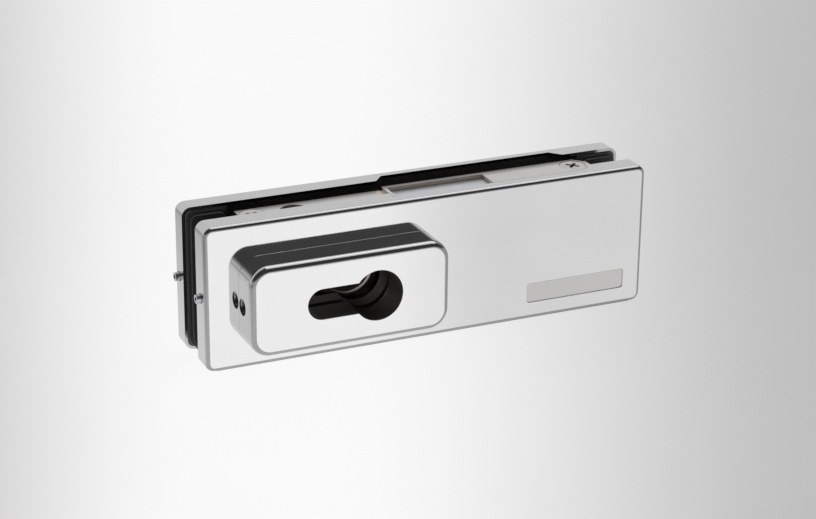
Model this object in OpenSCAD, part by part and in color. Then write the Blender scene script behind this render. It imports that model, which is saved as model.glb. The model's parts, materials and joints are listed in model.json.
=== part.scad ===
// Glass door bottom lock: two clamp halves with polished covers, a lock case
// between them in the notch of the glass, and a bolt that slides down 20 mm.
// X runs along the lock, -Y faces the viewer, +Z is up.
// The origin is under the middle of the lock, on the surface that it stands on.

/* [Covers] */
// Length of the covers
body_l = 162; // [156:1:200]
// Height of the covers
body_h = 50.5; // [50:0.5:62]
// Depth of each cover, from its face to its open rim
cover_d = 8; // [8:0.1:10]
// Sheet thickness of the covers
cover_wall = 1; // [0.8:0.1:1.3]
// Corner radius of the covers, seen from the front
cover_r = 3.2; // [2.5:0.1:6]
// Rounding between a cover's face and its rim
cover_edge = 1.6; // [0.6:0.1:2]
// Gap between the rims of the two covers
rim_gap = 13; // [11:0.5:17]

/* [Rim notch] */
// Distance from the left end of the notch to the bolt
notch_left = 1.6; // [1:0.1:3]
// Distance from the right case screw to the right end of the notch
notch_right = 2.8; // [2.5:0.1:4]
// Length of the slants at the ends of the notch
notch_ramp = 3.5; // [2.5:0.5:7]

/* [Name field] */
// Length of the bare recessed field on the front cover
field_l = 37.4; // [20:0.2:45]
// Height of the recessed field
field_h = 6.9; // [4:0.1:8]
// Depth of the recessed field
field_depth = 0.35; // [0.2:0.05:0.5]
// Distance from the right end of the lock to the middle of the field
field_in = 26.1; // [24:0.1:32]
// Middle of the recessed field, above the bottom edge
field_z = 9.6; // [6:0.1:12]

/* [Cylinder opening] */
// Distance from the left end of the lock to the middle of the round part
cyl_in = 56.4; // [56:0.1:56.8]
// Middle of the round part of the opening, below the middle height
cyl_down = 2.25; // [1.75:0.05:2.5]
// Radius of the round part
cyl_r = 8.75; // [8.6:0.05:9]
// Width of the leg
leg_w = 10.6; // [10.2:0.1:11]
// Distance from the round part's middle to the middle of the leg's round end
leg_len = 19.6; // [19.2:0.1:19.8]

/* [Rose] */
// Width of the rose
rose_w = 70.6; // [69:0.2:74]
// Height of the rose
rose_h = 31.5; // [30:0.1:38]
// Corner radius of the rose
rose_r = 7; // [5:0.5:10]
// Distance from the left end of the lock to the middle of the rose
rose_in = 47; // [46.5:0.1:47.5]
// Thickness of the hidden plate that holds the rose's cap
rose_plate_t = 6; // [5.5:0.1:7]
// Height of the rose above the cover
rose_t = 11.2; // [9.5:0.1:16]
// Rounding of the rose cap's front edge
rose_edge = 2.3; // [1:0.1:3]

/* [Clamp] */
// Width of the clamping wing at each end
wing_w = 14.6; // [14:0.1:14.6]
// Thickness of a rubber pad
pad_t = 2.5; // [1:0.5:3.5]
// Width of a rubber pad
pad_w = 13.8; // [12:0.1:13.8]
// Height of a rubber pad
pad_h = 47.4; // [40:0.2:47.4]
// Width of the columns that carry the lock case
column_w = 9.6; // [9.2:0.1:9.8]

/* [Bolt] */
// Width of the bolt
bolt_w = 35; // [28:0.5:36]
// Thickness of the bolt
bolt_t = 8.8; // [7:0.1:9]
// Distance from the cylinder to the middle of the bolt
bolt_off = 31.1; // [30.6:0.1:31.6]
// Travel of the bolt
throw = 20; // [16:1:20]
// Depth of the bolt's ends under the faces of the case
bolt_sunk = 1.3; // [0.8:0.1:2]

/* [Hidden] */
$fn = 64;
eps = 0.01;

// Clearances
fit = 0.15;        // between a cover and what it holds
seat = 0.05;       // between faces that lie on each other
slide = 0.2;       // beside the sliding bolt
thread = 0.05;     // round a screw in its thread
hole_gap = 0.25;   // round a screw in a plain hole

// Heights and depths that follow from the sizes above
mid_z = body_h / 2;
rim_y = rim_gap / 2;                 // plane of the rims, and of the clamping faces
face_y = rim_y + cover_d;            // outer faces of the covers
frame_half = body_l / 2 - cover_wall - fit;
frame_z0 = cover_wall + fit;         // lowest point of what the covers hold
frame_z1 = body_h - frame_z0;
wing_x = frame_half - wing_w;        // inner edge of a clamping wing
web_t = 1.5;                         // thickness of the clamp castings' web
web_y = face_y - cover_wall - seat - web_t;

// Places along the lock
column_xs = [20.6 - body_l / 2, body_l / 2 - 23.6];
cyl_x = cyl_in - body_l / 2;
rose_x = rose_in - body_l / 2;
field_x = body_l / 2 - field_in;
bolt_x = cyl_x + bolt_off;
notch_x0 = bolt_x - bolt_w / 2 - notch_left;
notch_x1 = column_xs[1] + notch_right;

// Lock case
mech_y = -(rim_y - 0.6);             // middle plane of the bolt and the cylinder's cam
slot_t = bolt_t + 2 * slide;
slot_w = bolt_w + 3 * slide;
notch_y = slot_t / 2 - mech_y;       // distance of the notch's edge from the middle plane
case_front = -(web_y - seat);
case_rear = 1.4;
case_x0 = column_xs[0] + column_w / 2 + fit;
case_x1 = column_xs[1] - column_w / 2 - fit;
case_edge = 1;                       // rounding of the rear edges
land_gap = 0.1;                      // between the case and the edges of the notch
land_ring = 0.9;                     // metal round the heads of the right case screws
flange_t = 4.6;                      // thickness of the flanges over the columns
flange_x = wing_x - fit;
lid_t = 1.5;
lid_z0 = 5.5;
lid_z1 = body_h - lid_z0;
cavity_rear = case_rear - lid_t;
cam_r = 15.4;                        // room for the cylinder's turning cam
cyl_z = mid_z - cyl_down;
opening_gap = 0.6;                   // how much wider the covers and webs are cut
guide_t = 1.4;                       // collar round the opening, inside the case
guide_y = mech_y - 0.5;              // where the collar ends and the cam's room begins

// Bolt
bolt_z0 = bolt_sunk;
bolt_z1 = body_h - bolt_sunk;
bolt_left = bolt_x - bolt_w / 2;
bolt_right = bolt_x + bolt_w / 2;
tooth_x = cyl_x + 10.8;              // tips of the teeth that the cam pushes
tooth_floor = bolt_left + 2.2;       // floor of the recess that the teeth stand in
tooth_l = tooth_floor - tooth_x;
tooth_root = 4.6;
tooth_tip = 2.6;
tooth_pitch = throw / 2;             // one turn of the cam moves the bolt one tooth
tooth_side = 3;                      // length of the recess above and below the teeth
tooth_z = cyl_z + 5.5;               // lower tooth, with the bolt drawn in
tooth_room_z0 = tooth_z - throw - tooth_root / 2 - 0.6;
tooth_room_z1 = tooth_z + tooth_pitch + tooth_root / 2 + 0.4;
pin_r = 2;                           // stop pin
pin_z = mid_z - 1.45;
pin_play = 0.3;

// Detent spring, and the notches for it in the bolt's right edge
detent_r = 1.5;
detent_x = bolt_right + 0.6;
detent_z = mid_z - 1.25;
spring_t = 0.6;
spring_w = 6.4;
spring_pin_r = 1.5;
spring_pin = [bolt_right + 15.5, mid_z + 10.75];
bay_x1 = bolt_right + 20;
bay_z0 = mid_z - 11.25;
bay_z1 = mid_z + 14.25;

// Screws
screw_r = 2.5;                       // large screws
head_r = 4.5;
head_t = 2.5;
case_screw_y = mech_y + 1.1;
case_screw_l = 10;
cyl_screw_x = cyl_x - 21.7;
cyl_screw_sunk = 0.9;
clamp_up = 10.5;                     // above and below the middle height
cap_r = 4.25;
cap_t = 4.6;
clamp_hole_end = case_front + 3.2;
small_r = 1.5;                       // small screws
small_head_r = 2.8;
small_head_t = 1.5;
lid_screw_xs = [case_x0 + 3.2, case_x1 - 3.2];
lid_screw_up = 16.25;                // above and below the middle height
end_screw_y = face_y - 4;
end_screw_l = 9;
end_screw_out = 1.7;                 // how far the left end screws stand out

// Rose
rose_left = rose_x - rose_w / 2;
rose_right = rose_x + rose_w / 2;
rose_wall = 2.4;                     // walls of the cap
rose_end_wall = 6;                   // its left wall, with the thread for the set screw
rose_lining = 1.5;                   // wall of the cap round the opening
rose_pocket_r = rose_r - rose_wall;
rose_pocket_x = (rose_left + rose_end_wall + rose_right - rose_wall) / 2;
rose_pocket_w = rose_w - rose_end_wall - rose_wall;
rose_pocket_h = rose_h - 2 * rose_wall;
rose_screw_xs = [rose_left + rose_end_wall + 5.8, rose_right - rose_wall - 6.8];
set_screw_up = 3.3;                  // above the cover's face
set_screw_in = 0.8;                  // below the cap's left wall
set_screw_mouth = 0.4;               // how much wider its hole is as deep as that

// Rounded rectangle about the origin, with true arcs
module rounded_rect(w, h, r) {
  square([w - 2 * r, h], center = true);
  square([w, h - 2 * r], center = true);
  for (sx = [-1, 1], sy = [-1, 1])
    translate([sx * (w / 2 - r), sy * (h / 2 - r)]) circle(r);
}

// Quarter of a rounded edge, for a slab t thick, at the distance d from the axis
module edge_profile(d, t, e) {
  square([d - e, t]);
  square([d, t - e]);
  translate([d - e, t - e]) intersection() {
    circle(e);
    square(e);
  }
}

// Section across a slab, rounded along both of its upper edges
module edge_section(w, t, e) {
  edge_profile(w / 2, t, e);
  mirror([1, 0]) edge_profile(w / 2, t, e);
}

// Slab with corner radius r and an upper edge rounded by e, on z = 0
module soft_slab(w, h, t, r, e) {
  translate([w / 2 - r, 0, 0]) rotate([90, 0, -90])
    linear_extrude(w - 2 * r) edge_section(h, t, e);
  translate([0, h / 2 - r, 0]) rotate([90, 0, 0])
    linear_extrude(h - 2 * r) edge_section(w, t, e);
  for (turn = [0:3])
    translate([(turn == 0 || turn == 3 ? 1 : -1) * (w / 2 - r),
               (turn < 2 ? 1 : -1) * (h / 2 - r), 0])
      rotate([0, 0, 90 * turn]) rotate_extrude(angle = 90) edge_profile(r, t, e);
}

// Opening for a profile cylinder, its round part about the origin, its leg to the left
module euro_profile(grow = 0) {
  circle(cyl_r + grow);
  translate([-leg_len, 0]) circle(leg_w / 2 + grow);
  translate([-leg_len, -leg_w / 2 - grow]) square([leg_len, leg_w + 2 * grow]);
}

// Places a shape drawn in x and z, and raised towards the front, on the plane y
module facing_front(y, z = 0) {
  translate([0, y, z]) rotate([90, 0, 0]) children();
}

// Block between two planes of y, from an outline in x and z
module across(y0, y1) {
  translate([0, y1, 0]) rotate([90, 0, 0]) linear_extrude(y1 - y0) children();
}

// The rear half is the mirror image of the front half
module side(rear) {
  if (rear) mirror([0, 1, 0]) children();
  else children();
}

// Countersunk screw along -z, its head's top on z = 0
module flat_screw(r, head, head_h, l) {
  rotate_extrude()
    polygon([[0, 0], [head, 0], [head, -0.3], [r, -head_h], [r, -l + 0.4], [r - 0.4, -l], [0, -l]]);
}

// Room for a countersunk screw, with the same head and a plain or threaded hole
module flat_screw_hole(r, head, head_h, l, sunk = 0) {
  rotate_extrude()
    polygon([[0, 1], [head, 1], [head, -0.3 - sunk], [r, -head_h - sunk], [r, -l], [0, -l]]);
}

module cross_recess(size, depth) {
  for (a = [0, 90])
    rotate([0, 0, a + 45]) translate([-size / 2, -size / 8, -depth])
      cube([size, size / 4, depth + 1]);
}

// Outline in x and y of the notch in the rear rims, slanted at both ends.
// It is drawn at the front half, like all that the rear half mirrors
module rear_notch_outline() {
  polygon([
    [notch_x0, -rim_y + 1],
    [notch_x0, -rim_y],
    [notch_x0 + notch_ramp, -notch_y],
    [notch_x1 - notch_ramp, -notch_y],
    [notch_x1, -rim_y],
    [notch_x1, -rim_y + 1]
  ]);
}

// Outline of the notch in the front rims: square beside the bolt, and with a ring
// round the case screw. The land of the case fills it
module land_outline(gap = 0, rear = -rim_y + 1) {
  near = -notch_y + gap;
  polygon([
    [notch_x0 + gap, rear],
    [notch_x0 + gap, near],
    [notch_x1 - gap - notch_ramp, near],
    [notch_x1 - gap, -rim_y],
    [notch_x1 - gap, rear]
  ]);
  translate([column_xs[1], case_screw_y]) circle(head_r + land_ring + land_gap - gap);
}

module cover(rear) {
  color("gainsboro") side(rear) difference() {
    facing_front(-rim_y, mid_z) difference() {
      soft_slab(body_l, body_h, cover_d, cover_r, cover_edge);
      translate([0, 0, -eps]) linear_extrude(cover_d - cover_wall + eps)
        rounded_rect(body_l - 2 * cover_wall, body_h - 2 * cover_wall, cover_r - cover_wall);
    }
    // Notches for the case in the upper and the lower rim
    for (z = [-1, body_h - cover_wall - fit])
      translate([0, 0, z]) linear_extrude(cover_wall + fit + 1)
        if (rear) rear_notch_outline();
        else land_outline();
    // Opening for the cylinder
    translate([cyl_x, 0, cyl_z]) across(-face_y - 1, -rim_y) euro_profile(opening_gap);
    // Holes for the end screws
    translate([-body_l / 2 - 1, -end_screw_y, mid_z]) rotate([0, 90, 0])
      cylinder(h = body_l + 2, r = small_r + hole_gap);
    rose_screw_holes(small_r + hole_gap);
    if (!rear) name_field();
  }
}

// Bare recess where such a lock carries a name
module name_field() {
  translate([field_x, 0, field_z]) across(-face_y - 1, -face_y + field_depth)
    rounded_rect(field_l, field_h, 0.9);
}

module rose_screw_holes(r) {
  for (x = rose_screw_xs)
    translate([x, 0, cyl_z])
      facing_front(-web_y + 1) cylinder(h = face_y - web_y + 2, r = r);
}

// Hole for the set screw: through the cap's left wall and a little way into the plate
module rose_set_hole() {
  translate([rose_left, -face_y - set_screw_up, cyl_z]) rotate([0, 90, 0]) {
    cylinder(h = rose_end_wall + 1.2, r = screw_r + thread);
    translate([0, 0, -1]) cylinder(h = set_screw_in + 1, r = screw_r + set_screw_mouth);
  }
}

// Plate that the cap hides, with room for the lining of the cap's opening
module rose_plate(rear) {
  color("silver") side(rear) difference() {
    facing_front(-face_y - seat, cyl_z) translate([rose_pocket_x, 0, 0])
      linear_extrude(rose_plate_t)
        rounded_rect(rose_pocket_w - 2 * fit, rose_pocket_h - 2 * fit, rose_pocket_r - fit);
    translate([cyl_x, 0, cyl_z]) across(-face_y - rose_t, -face_y + 1)
      euro_profile(rose_lining + fit);
    rose_set_hole();
    for (x = rose_screw_xs)
      translate([x, -face_y - seat - rose_plate_t, cyl_z]) rotate([90, 0, 0])
        flat_screw_hole(small_r + hole_gap, small_head_r + hole_gap, small_head_t,
                        rose_plate_t + 1);
  }
}

module rose_cap(rear) {
  color("white") side(rear) difference() {
    facing_front(-face_y - seat, cyl_z) difference() {
      translate([rose_x, 0, 0]) soft_slab(rose_w, rose_h, rose_t - seat, rose_r, rose_edge);
      translate([0, 0, -1]) linear_extrude(rose_plate_t + fit + 1) difference() {
        translate([rose_pocket_x, 0]) rounded_rect(rose_pocket_w, rose_pocket_h, rose_pocket_r);
        translate([cyl_x, 0]) euro_profile(rose_lining);
      }
    }
    translate([cyl_x, 0, cyl_z]) across(-face_y - rose_t - 1, -face_y + 1) euro_profile();
    rose_set_hole();
  }
}

module rose_set_screws() {
  color("dimgray") for (rear = [false, true]) side(rear)
    translate([rose_left + set_screw_in, -face_y - set_screw_up, cyl_z]) rotate([0, 90, 0])
      difference() {
        cylinder(h = rose_end_wall + 1 - set_screw_in, r = screw_r);
        translate([0, 0, -1]) cylinder(h = 3, r = 1.4, $fn = 6);
      }
}

module rose_plate_screws() {
  color("silver") for (rear = [false, true]) side(rear) for (x = rose_screw_xs)
    translate([x, -face_y - seat - rose_plate_t, cyl_z]) rotate([90, 0, 0]) difference() {
      flat_screw(small_r, small_head_r, small_head_t, rose_plate_t + cover_wall + web_t - 0.2);
      cross_recess(2.6, 0.9);
    }
}

// Clamp casting without its columns or bosses: a web between two wings
module clamp_tray() {
  difference() {
    facing_front(-rim_y, mid_z) difference() {
      linear_extrude(face_y - rim_y - cover_wall - seat)
        rounded_rect(2 * frame_half, frame_z1 - frame_z0, cover_r - cover_wall - fit);
      translate([-wing_x, -body_h / 2, -1]) cube([2 * wing_x, body_h, web_y - rim_y + 1]);
    }
    translate([cyl_x, 0, cyl_z]) across(-face_y, -web_y + 1) euro_profile(opening_gap);
    // Threads for the end screws
    for (end = [-1, 1])
      translate([end * (frame_half - end_screw_l / 2 + 1), -end_screw_y, mid_z]) rotate([0, 90, 0])
        cylinder(h = end_screw_l, r = small_r + thread, center = true);
  }
}

module front_clamp() {
  column_z0 = frame_z0 + flange_t + fit;
  color("darkgray") difference() {
    union() {
      clamp_tray();
      for (x = column_xs)
        translate([x - column_w / 2, -web_y - 0.5, column_z0])
          cube([column_w, case_rear + web_y + 0.5, body_h - 2 * column_z0]);
    }
    rose_screw_holes(small_r + thread);
    for (x = column_xs, up = [-1, 1])
      translate([x, clamp_hole_end, mid_z + up * clamp_up]) rotate([-90, 0, 0])
        cylinder(h = 20, r = screw_r + thread);
    for (x = column_xs, top = [0, 1])
      translate([x, case_screw_y, top * body_h]) mirror([0, 0, 1 - top])
        translate([0, 0, -frame_z0 - case_screw_l - 0.5])
          cylinder(h = case_screw_l, r = screw_r + thread);
  }
}

module rear_clamp() {
  head_seat = rim_y + 2;
  color("#2a2a2c") difference() {
    union() {
      side(true) clamp_tray();
      for (x = column_xs, up = [-1, 1])
        translate([x, rim_y, mid_z + up * clamp_up]) rotate([-90, 0, 0])
          cylinder(h = web_y - rim_y + 0.5, r = cap_r + 1.2);
    }
    side(true) rose_screw_holes(small_r + thread);
    for (x = column_xs, up = [-1, 1])
      translate([x, 0, mid_z + up * clamp_up]) rotate([-90, 0, 0]) {
        cylinder(h = face_y, r = screw_r + hole_gap);
        translate([0, 0, head_seat]) cylinder(h = face_y, r = cap_r + hole_gap);
      }
  }
}

module clamp_screws() {
  head_seat = rim_y + 2;
  color("silver") for (x = column_xs, up = [-1, 1])
    translate([x, head_seat, mid_z + up * clamp_up]) rotate([-90, 0, 0])
      difference() {
        union() {
          cylinder(h = cap_t, r = cap_r);
          translate([0, 0, clamp_hole_end + 1 - head_seat])
            cylinder(h = head_seat - clamp_hole_end - 1 + eps, r = screw_r);
        }
        translate([0, 0, cap_t - 2.5]) cylinder(h = 3, r = 2.3, $fn = 6);
      }
}

// Rubber pad with a raised middle, on the clamping face of one wing
module clamp_pad(rear, end) {
  step = 0.7;
  r = 3;
  color("#1c1c1e") side(rear) translate([end * (frame_half - wing_w / 2), 0, mid_z]) {
    across(-rim_y, -rim_y + pad_t / 2) rounded_rect(pad_w, pad_h, r);
    across(-rim_y + pad_t / 2 - eps, -rim_y + pad_t)
      rounded_rect(pad_w - 2 * step, pad_h - 2 * step, r - step);
  }
}

// Section of the lock case in y and z, between two heights, its rear edges rounded
module case_section(z0, z1) {
  translate([case_front, z0]) square([case_rear - case_front - case_edge, z1 - z0]);
  translate([case_front, z0 + case_edge])
    square([case_rear - case_front, z1 - z0 - 2 * case_edge]);
  for (z = [z0 + case_edge, z1 - case_edge])
    translate([case_rear - case_edge, z]) circle(case_edge);
}

module case_bar(x0, x1, z0, z1) {
  translate([x0, 0, 0]) rotate([90, 0, 90]) linear_extrude(x1 - x0) case_section(z0, z1);
}

// Outer form of the lock case: a box, flanges over the columns, and lands in the notches
module case_body() {
  case_bar(case_x0, case_x1, frame_z0, frame_z1);
  case_bar(-flange_x, flange_x, frame_z0, frame_z0 + flange_t);
  case_bar(-flange_x, flange_x, frame_z1 - flange_t, frame_z1);
  intersection() {
    case_bar(-flange_x, flange_x, 0, body_h);
    for (z = [0, body_h - frame_z0 - 2])
      translate([0, 0, z]) linear_extrude(frame_z0 + 2) land_outline(land_gap, case_rear);
  }
}

// The case with the room for its mechanism, and the collar that guides the cylinder
module case_hull() {
  difference() {
    case_body();
    // Rebate for the lid
    translate([case_x0 - 1, cavity_rear, lid_z0])
      cube([case_x1 - case_x0 + 2, lid_t + 1, lid_z1 - lid_z0]);
    // Slot that guides the bolt, right through
    translate([bolt_x - slot_w / 2, mech_y - slot_t / 2, -1]) cube([slot_w, slot_t, body_h + 2]);
    // Room for the bolt, its teeth, the cam and the detent spring
    across(mech_y - slot_t / 2, cavity_rear + 1) {
      translate([tooth_x - 1, tooth_room_z0])
        square([bolt_right + 0.3 - tooth_x + 1, tooth_room_z1 - tooth_room_z0]);
      translate([cyl_x, cyl_z]) circle(cam_r);
      translate([bolt_right - 1, bay_z0]) square([bay_x1 - bolt_right + 1, bay_z1 - bay_z0]);
    }
  }
  translate([cyl_x, 0, cyl_z]) across(case_front + 0.5, guide_y) euro_profile(guide_t);
}

module lock_case() {
  color("#b5aba3") difference() {
    case_hull();
    translate([cyl_x, 0, cyl_z]) across(case_front - 1, case_rear + 1) euro_profile();
    // Screws that hold the case on the columns
    for (x = column_xs, top = [0, 1])
      translate([x, case_screw_y, mid_z]) mirror([0, 0, 1 - top])
        translate([0, 0, case_screw_top(x) - mid_z])
          flat_screw_hole(screw_r + hole_gap, head_r + 0.15, head_t, case_screw_l);
    // Screw that holds the cylinder
    translate([cyl_screw_x, mech_y, frame_z1 - cyl_screw_sunk])
      flat_screw_hole(screw_r + hole_gap, head_r + 0.3, head_t, frame_z1 - cyl_z - cyl_screw_sunk);
    at_lid_screws() cylinder(h = 18, r = small_r + thread, center = true);
    translate([bolt_x, 0, pin_z]) across(case_front - 1, 0) circle(pin_r + thread);
    translate([spring_pin[0], 0, spring_pin[1]]) across(case_front + 1, 0)
      circle(spring_pin_r + thread);
  }
}

// The right screws sit in the raised land, the left ones in the flange below the rim
function case_screw_top(x) = x > notch_x0 ? body_h - 0.1 : frame_z1;

// Places a shape at each screw of the lid, with +z away from the case
module at_lid_screws() {
  for (x = lid_screw_xs, up = [-1, 1])
    translate([x, case_rear, mid_z + up * lid_screw_up]) rotate([-90, 0, 0]) children();
}

module case_lid() {
  color("#a9a39b") difference() {
    translate([case_x0, cavity_rear + seat, lid_z0 + 0.1])
      cube([case_x1 - case_x0, lid_t - seat, lid_z1 - lid_z0 - 0.2]);
    translate([cyl_x, 0, cyl_z]) across(cavity_rear - 1, case_rear + 1) euro_profile();
    at_lid_screws()
      flat_screw_hole(small_r + hole_gap, small_head_r + 0.1, small_head_t - 0.3, 4);
  }
}

module lid_screws() {
  color("silver") at_lid_screws() difference() {
    flat_screw(small_r, small_head_r, small_head_t - 0.3, 8);
    cross_recess(2.4, 0.8);
  }
}

module case_screws() {
  color("silver") for (x = column_xs, top = [0, 1])
    translate([x, case_screw_y, mid_z]) mirror([0, 0, 1 - top])
      translate([0, 0, case_screw_top(x) - mid_z]) difference() {
        flat_screw(screw_r, head_r, head_t, case_screw_l);
        cross_recess(4.8, 1.4);
      }
}

module cylinder_screw() {
  top = frame_z1 - cyl_screw_sunk;
  color("silver") translate([cyl_screw_x, mech_y, top]) difference() {
    flat_screw(screw_r, head_r, head_t, top - cyl_z - leg_w / 2 - 0.6);
    cross_recess(4.8, 1.4);
  }
}

// End screws: the left ones stand out, the right ones are driven in flush
module cover_screws() {
  color("silver") for (rear = [false, true]) side(rear) for (end = [-1, 1]) {
    out = end < 0 ? end_screw_out : 0;
    translate([end * (body_l / 2 + out), -end_screw_y, mid_z]) rotate([0, -90 * end, 0])
      difference() {
        cylinder(h = end_screw_l, r = small_r);
        translate([0, 0, -1]) cylinder(h = 2.5, r = 0.85, $fn = 6);
      }
  }
}

// Body of the bolt without the recess in its left edge that the cam turns in
module bolt_edge() {
  recess_z0 = tooth_z - tooth_root / 2 - tooth_side;
  recess_z1 = tooth_z + tooth_pitch + tooth_root / 2 + tooth_side;
  across(mech_y - bolt_t, mech_y + bolt_t) polygon([
    [bolt_left - 1, bolt_z0 - 1],
    [bolt_right + 1, bolt_z0 - 1],
    [bolt_right + 1, bolt_z1 + 1],
    [bolt_left - 1, bolt_z1 + 1],
    [bolt_left - 1, recess_z1],
    [tooth_floor, recess_z1],
    [tooth_floor, recess_z0],
    [bolt_left - 1, recess_z0]
  ]);
}

// Bolt, drawn in. The cam of the cylinder pushes the teeth on its left edge
module bolt() {
  lead = 1.2;
  color("lightgray") difference() {
    union() {
      intersection() {
        across(mech_y - bolt_t / 2, mech_y + bolt_t / 2) polygon([
          [bolt_left + lead, bolt_z0],
          [bolt_right - lead, bolt_z0],
          [bolt_right, bolt_z0 + lead],
          [bolt_right, bolt_z1],
          [bolt_left, bolt_z1],
          [bolt_left, bolt_z0 + lead]
        ]);
        translate([bolt_left, mech_y, 0]) rotate([90, 0, 90]) linear_extrude(bolt_w) polygon([
          [-bolt_t / 2 + lead, bolt_z0],
          [bolt_t / 2 - lead, bolt_z0],
          [bolt_t / 2, bolt_z0 + lead],
          [bolt_t / 2, bolt_z1],
          [-bolt_t / 2, bolt_z1],
          [-bolt_t / 2, bolt_z0 + lead]
        ]);
        bolt_edge();
      }
      for (i = [0, 1])
        translate([tooth_floor, 0, tooth_z + i * tooth_pitch])
          across(mech_y - bolt_t / 2 + 0.4, mech_y + bolt_t / 2 - 0.4) {
            polygon([
              [1, -tooth_root / 2],
              [0, -tooth_root / 2],
              [-tooth_l + tooth_tip / 2, -tooth_tip / 2],
              [-tooth_l + tooth_tip / 2, tooth_tip / 2],
              [0, tooth_root / 2],
              [1, tooth_root / 2]
            ]);
            translate([-tooth_l + tooth_tip / 2, 0]) circle(tooth_tip / 2);
          }
    }
    // Slot for the stop pin
    across(mech_y - bolt_t, mech_y + bolt_t) {
      for (z = [pin_z - pin_play, pin_z + throw + pin_play])
        translate([bolt_x, z]) circle(pin_r + pin_play);
      translate([bolt_x - pin_r - pin_play, pin_z - pin_play])
        square([2 * (pin_r + pin_play), throw + 2 * pin_play]);
    }
    // Notches for the detent spring: drawn in, half way and out
    for (i = [0:2])
      translate([detent_x, 0, detent_z + i * tooth_pitch])
        across(mech_y - bolt_t, mech_y + bolt_t) circle(detent_r);
  }
}

module stop_pin() {
  color("gray") translate([bolt_x, 0, pin_z])
    across(case_front + 0.1, cavity_rear - seat) circle(pin_r);
}

module spring_pin() {
  color("gray") translate([spring_pin[0], 0, spring_pin[1]])
    across(case_front + 1.1, cavity_rear - seat) circle(spring_pin_r);
}

// Direction of a row of points at one of its stretches
function along(p, i) =
  i < len(p) - 1 ? (p[i + 1] - p[i]) / norm(p[i + 1] - p[i]) : along(p, i - 1);

// Way from a point of the row to the edge of a strip of half thickness 1
function to_edge(p, i) =
  let (m = along(p, max(i - 1, 0)) + along(p, i)) [-m[1], m[0]] / (norm(m) ^ 2 / 2);

// Strip of even thickness along a row of points, with mitred bends
module strip(p, t) {
  last = len(p) - 1;
  polygon(concat(
    [for (i = [0:last]) p[i] - to_edge(p, i) * t / 2],
    [for (i = [last:-1:0]) p[i] + to_edge(p, i) * t / 2]
  ));
}

// Leaf spring: an eye on its pin, a bent leaf, and a nose in the bolt's notch
module detent_spring() {
  top = spring_pin + [0, spring_pin_r + thread + spring_t / 2];
  nose_r = detent_r - 0.1;
  leaf_x = detent_x + nose_r - spring_t / 2 + 0.1;
  color("slategray") across(mech_y - spring_w / 2, mech_y + spring_w / 2) difference() {
    union() {
      translate(spring_pin) circle(spring_pin_r + thread + spring_t - 0.1);
      translate([detent_x, detent_z]) circle(nose_r);
      strip([
        [bay_x1 - 0.5, top[1]],
        top,
        [leaf_x + 4, top[1]],
        [leaf_x + 2, top[1] - 2],
        [leaf_x, detent_z + 1],
        [leaf_x, detent_z - 1],
        [leaf_x + 1.6, detent_z - 7]
      ], spring_t);
    }
    translate(spring_pin) circle(spring_pin_r + thread);
  }
}

cover(false);  // front_cover
cover(true);  // rear_cover
rose_plate(false);  // front_rose_plate
rose_plate(true);  // rear_rose_plate
rose_cap(false);  // front_rose_cap
rose_cap(true);  // rear_rose_cap
rose_set_screws();
rose_plate_screws();
front_clamp();
rear_clamp();
clamp_pad(false, -1);  // front_left_pad
clamp_pad(false, 1);  // front_right_pad
clamp_pad(true, -1);  // rear_left_pad
clamp_pad(true, 1);  // rear_right_pad
lock_case();
case_lid();
lid_screws();
case_screws();
cylinder_screw();
clamp_screws();
cover_screws();
bolt();
stop_pin();
detent_spring();
spring_pin();
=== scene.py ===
"""Glass door bottom lock: smooth outer pieces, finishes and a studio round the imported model."""
import json
import math
from typing import NamedTuple

import bmesh
import bpy
from mathutils import Color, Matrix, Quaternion, Vector

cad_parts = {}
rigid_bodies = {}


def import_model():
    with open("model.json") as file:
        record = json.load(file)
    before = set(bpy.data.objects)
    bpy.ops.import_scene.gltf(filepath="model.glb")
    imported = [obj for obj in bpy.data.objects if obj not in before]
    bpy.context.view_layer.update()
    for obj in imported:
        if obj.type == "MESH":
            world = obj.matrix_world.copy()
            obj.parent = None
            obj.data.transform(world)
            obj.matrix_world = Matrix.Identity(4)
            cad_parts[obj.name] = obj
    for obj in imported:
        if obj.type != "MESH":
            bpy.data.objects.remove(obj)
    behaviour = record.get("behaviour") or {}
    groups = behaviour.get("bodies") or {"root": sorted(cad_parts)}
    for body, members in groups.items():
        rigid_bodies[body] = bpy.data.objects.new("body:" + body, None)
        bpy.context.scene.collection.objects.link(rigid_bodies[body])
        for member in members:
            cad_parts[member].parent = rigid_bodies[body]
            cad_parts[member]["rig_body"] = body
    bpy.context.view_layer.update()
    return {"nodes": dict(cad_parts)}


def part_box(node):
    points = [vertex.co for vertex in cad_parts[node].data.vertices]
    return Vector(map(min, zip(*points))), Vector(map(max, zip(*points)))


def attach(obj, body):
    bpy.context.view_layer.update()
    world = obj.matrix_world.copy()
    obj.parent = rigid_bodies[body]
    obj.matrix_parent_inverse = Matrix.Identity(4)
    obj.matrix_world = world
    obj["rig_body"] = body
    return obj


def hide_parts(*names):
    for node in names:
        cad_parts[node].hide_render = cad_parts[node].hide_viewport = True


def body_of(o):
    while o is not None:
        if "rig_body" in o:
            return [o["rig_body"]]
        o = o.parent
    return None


bl_info = {
    "name": "Glass door bottom lock",
    "version": (1, 0, 0),
    "blender": (4, 5, 0),
    "location": "3D View > Sidebar > Door Lock",
    "description": "Builds the outer pieces and finishes of a bottom lock for a glass door",
    "category": "Object",
}

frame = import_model()
MM = 0.001
# Axes by their number
X, Y, Z = 0, 1, 2
# Two places closer than this are the same
TINY = 1e-5
# A distance past every piece of the lock
FAR = 1.0
# How far a change in a finish fades past its edge
BLUR = 0.1 * MM
# Faces that meet at less than this are shaded as one round surface
SMOOTH_ANGLE = math.radians(32)
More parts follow.
